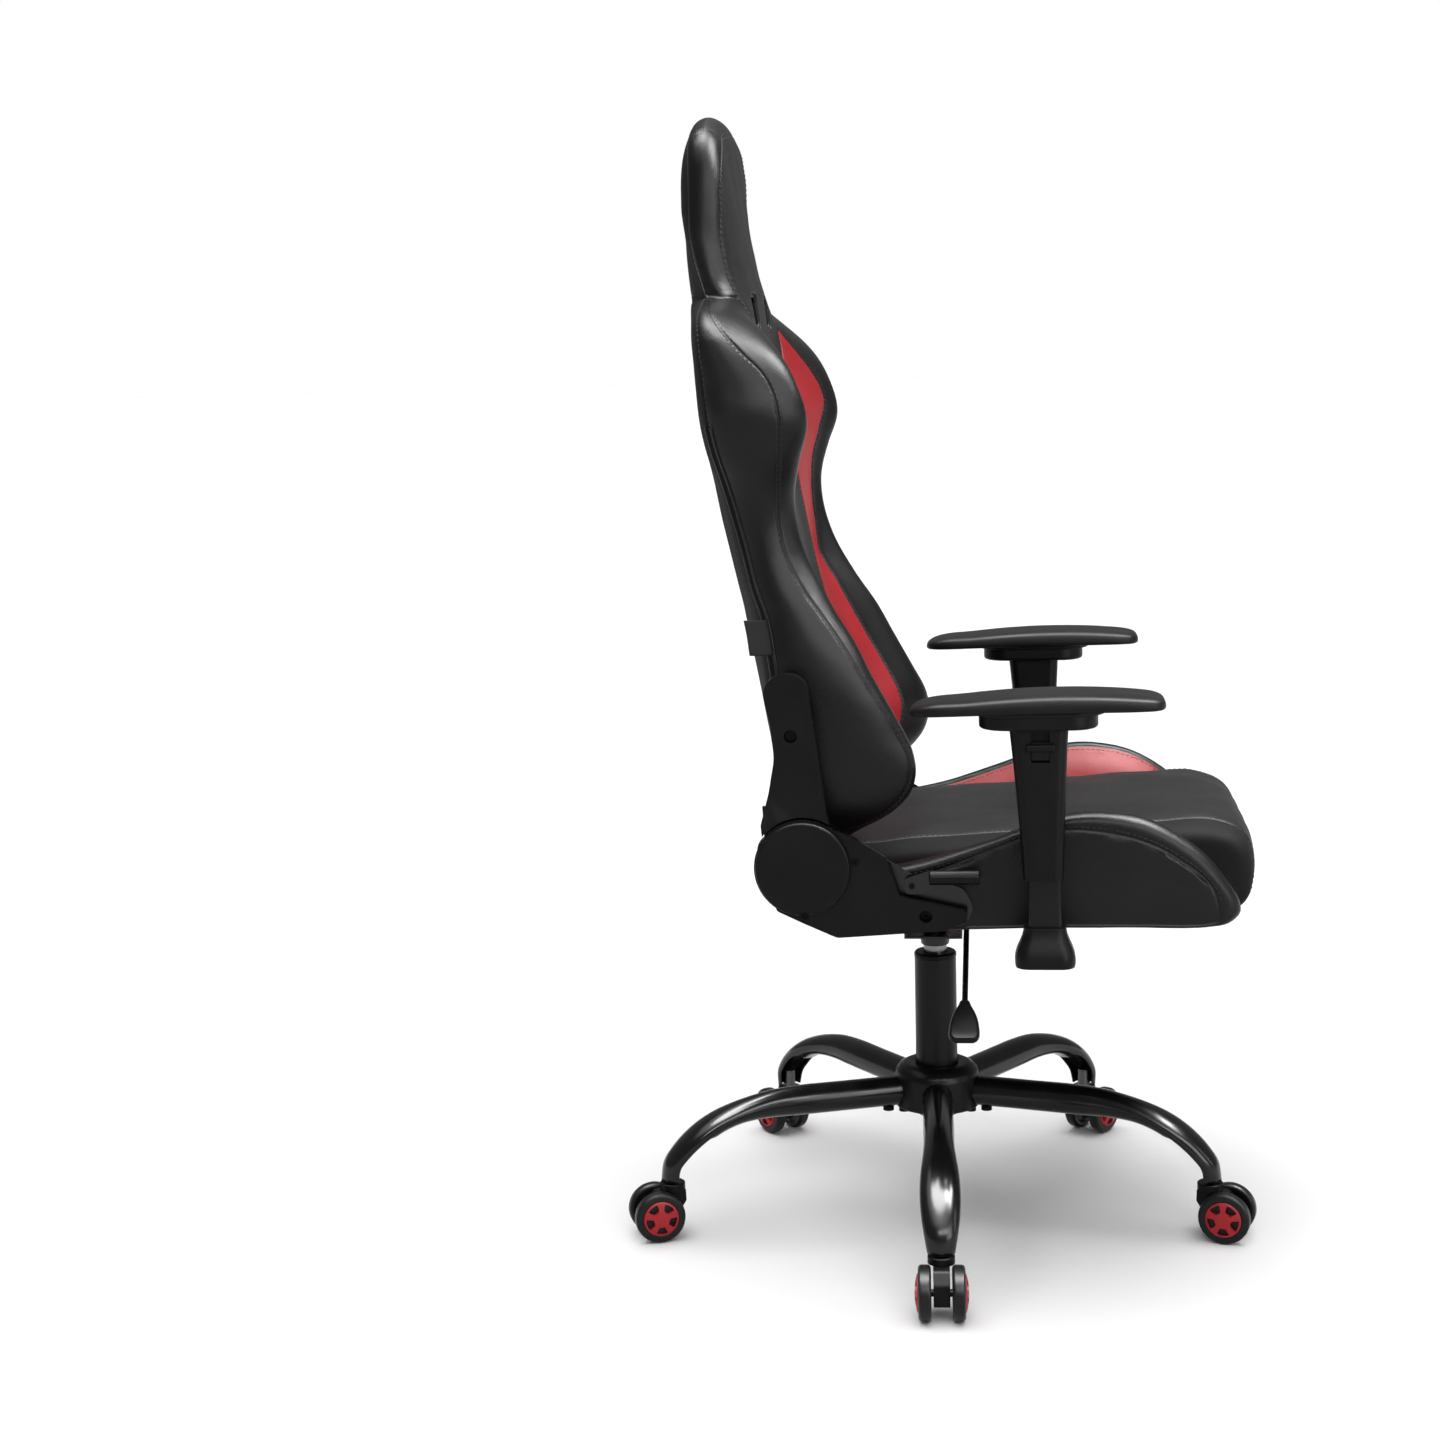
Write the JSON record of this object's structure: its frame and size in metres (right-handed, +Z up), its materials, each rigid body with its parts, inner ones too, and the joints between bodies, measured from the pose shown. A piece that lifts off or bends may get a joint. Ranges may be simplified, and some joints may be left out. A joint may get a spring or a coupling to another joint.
{
  "type": "gaming chair",
  "caption": "Racing-style swivel gaming chair: bucket seat, winged reclining backrest with headrest, height-adjustable arms, gas lift and five-leg caster base.",
  "frame": {"origin": "on the floor under the axis of the lift column", "axes": "+Z up, +X towards the seat's front, +Y towards the sitter's left"},
  "size_m": [0.7387, 0.7118, 1.3005],
  "materials": {
    "black_steel": "semi-gloss black powder coat",
    "steel": "satin",
    "bright_steel": "polished",
    "black_bolts": "black oxide",
    "black_plastic": "fine moulded texture",
    "wheel_black": "satin",
    "red_plastic": "satin",
    "black_leather": "grained synthetic leather",
    "red_leather": "grained synthetic leather",
    "soft_black": "soft-touch moulded pad"
  },
  "bodies": {
    "base": {"base_hub": "black_steel", "base_legs": "black_steel", "leg_bolts": "black_bolts", "caster_sockets": "steel", "gas_lift_tube": "black_steel", "lift_guide_bush": "black_plastic", "thrust_bearing": "steel"},
    "lift_rod": {"lift_rod": "steel", "lift_clip": "steel"},
    "seat": {"lift_cylinder": "bright_steel", "mechanism_plate": "black_steel", "under_seat_bolts": "black_bolts", "seat_frame": "black_steel", "seat_pad": "black_leather", "seat_bolsters": "black_leather", "seat_side_plates": "black_steel", "recline_bases": "black_plastic", "pivot_caps": "black_plastic", "bracket_fasteners": "black_bolts", "arm_posts": "black_steel", "arm_boots": "black_plastic"},
    "backrest": {"back_frame": "black_steel", "back_pad": "black_leather", "back_wing_right": "black_leather", "back_wing_left": "black_leather", "neck_pads": "black_leather", "headrest": "black_leather", "recline_arms": "black_plastic", "strap_rims": "black_plastic", "back_bolts": "black_bolts"},
    "height_lever": {"height_lever_rod": "black_steel", "height_lever_paddle": "black_plastic"},
    "recline_lever": {"recline_lever_strip": "black_steel", "recline_lever_grip": "black_plastic"},
    "arm_right": {"arm_sleeve_right": "black_plastic", "arm_pad_right": "soft_black"},
    "arm_left": {"arm_sleeve_left": "black_plastic", "arm_pad_left": "soft_black"},
    "trigger_right": {"arm_trigger_right": "black_plastic"},
    "trigger_left": {"arm_trigger_left": "black_plastic"},
    "caster_1": {"caster_1_fork": "black_plastic", "caster_1_stem": "steel"},
    "wheels_1": {"caster_1_wheelset": "wheel_black", "caster_1_hub_caps": "red_plastic"},
    "caster_2": {"caster_2_fork": "black_plastic", "caster_2_stem": "steel"},
    "wheels_2": {"caster_2_wheelset": "wheel_black", "caster_2_hub_caps": "red_plastic"},
    "caster_3": {"caster_3_fork": "black_plastic", "caster_3_stem": "steel"},
    "wheels_3": {"caster_3_wheelset": "wheel_black", "caster_3_hub_caps": "red_plastic"},
    "caster_4": {"caster_4_fork": "black_plastic", "caster_4_stem": "steel"},
    "wheels_4": {"caster_4_wheelset": "wheel_black", "caster_4_hub_caps": "red_plastic"},
    "caster_5": {"caster_5_fork": "black_plastic", "caster_5_stem": "steel"},
    "wheels_5": {"caster_5_wheelset": "wheel_black", "caster_5_hub_caps": "red_plastic"}
  },
  "joints": [
    {"name": "swivel", "type": "hinge", "parent": "base", "child": "lift_rod", "pos_m": [0, 0, 0.15], "axis": [0, 0, 1], "continuous": true},
    {"name": "lift", "type": "slide", "parent": "lift_rod", "child": "seat", "axis": [0, 0, 1], "range_m": [0, 0.08]},
    {"name": "recline", "type": "hinge", "parent": "seat", "child": "backrest", "pos_m": [-0.134, 0, 0.478], "axis": [0, -1, 0], "range_deg": [0, 57]},
    {"name": "recline_lever_lift", "type": "hinge", "parent": "seat", "child": "recline_lever", "pos_m": [-0.016, -0.251, 0.456], "axis": [0, -1, 0], "range_deg": [0, 18], "stiffness_Nm_per_rad": 0.5, "springref_deg": -17.19},
    {"name": "height_lever_lift", "type": "hinge", "parent": "seat", "child": "height_lever", "pos_m": [0.04, -0.05, 0.389], "axis": [-1, 0, 0], "range_deg": [0, 8], "stiffness_Nm_per_rad": 2, "springref_deg": -11.46},
    {"name": "arm_right_height", "type": "slide", "parent": "seat", "child": "arm_right", "axis": [0, 0, 1], "range_m": [-0.045, 0.03]},
    {"name": "trigger_right_pull", "type": "slide", "parent": "arm_right", "child": "trigger_right", "axis": [0, 0, 1], "range_m": [0, 0.008], "stiffness_N_per_m": 200, "springref_m": -0.004},
    {"name": "arm_left_height", "type": "slide", "parent": "seat", "child": "arm_left", "axis": [0, 0, 1], "range_m": [-0.045, 0.03]},
    {"name": "trigger_left_pull", "type": "slide", "parent": "arm_left", "child": "trigger_left", "axis": [0, 0, 1], "range_m": [0, 0.008], "stiffness_N_per_m": 200, "springref_m": -0.004},
    {"name": "caster_1_swivel", "type": "hinge", "parent": "base", "child": "caster_1", "pos_m": [0.0129, -0.33125, 0.07], "axis": [0, 0, 1], "continuous": true},
    {"name": "caster_1_roll", "type": "hinge", "parent": "caster_1", "child": "wheels_1", "pos_m": [0.01368, -0.35123, 0.03], "axis": [0.9992, 0.0389, 0], "continuous": true},
    {"name": "caster_2_swivel", "type": "hinge", "parent": "base", "child": "caster_2", "pos_m": [0.31902, -0.09009, 0.07], "axis": [0, 0, 1], "continuous": true},
    {"name": "caster_2_roll", "type": "hinge", "parent": "caster_2", "child": "wheels_2", "pos_m": [0.33827, -0.09553, 0.03], "axis": [0.2718, 0.9624, 0], "continuous": true},
    {"name": "caster_3_swivel", "type": "hinge", "parent": "base", "child": "caster_3", "pos_m": [0.18427, 0.27557, 0.07], "axis": [0, 0, 1], "continuous": true},
    {"name": "caster_3_roll", "type": "hinge", "parent": "caster_3", "child": "wheels_3", "pos_m": [0.19539, 0.29219, 0.03], "axis": [-0.8313, 0.5559, 0], "continuous": true},
    {"name": "caster_4_swivel", "type": "hinge", "parent": "base", "child": "caster_4", "pos_m": [-0.20514, 0.2604, 0.07], "axis": [0, 0, 1], "continuous": true},
    {"name": "caster_4_roll", "type": "hinge", "parent": "caster_4", "child": "wheels_4", "pos_m": [-0.21751, 0.27611, 0.03], "axis": [-0.7855, -0.6188, 0], "continuous": true},
    {"name": "caster_5_swivel", "type": "hinge", "parent": "base", "child": "caster_5", "pos_m": [-0.31105, -0.11463, 0.07], "axis": [0, 0, 1], "continuous": true},
    {"name": "caster_5_roll", "type": "hinge", "parent": "caster_5", "child": "wheels_5", "pos_m": [-0.32982, -0.12155, 0.03], "axis": [0.3458, -0.9383, 0], "continuous": true}
  ]
}
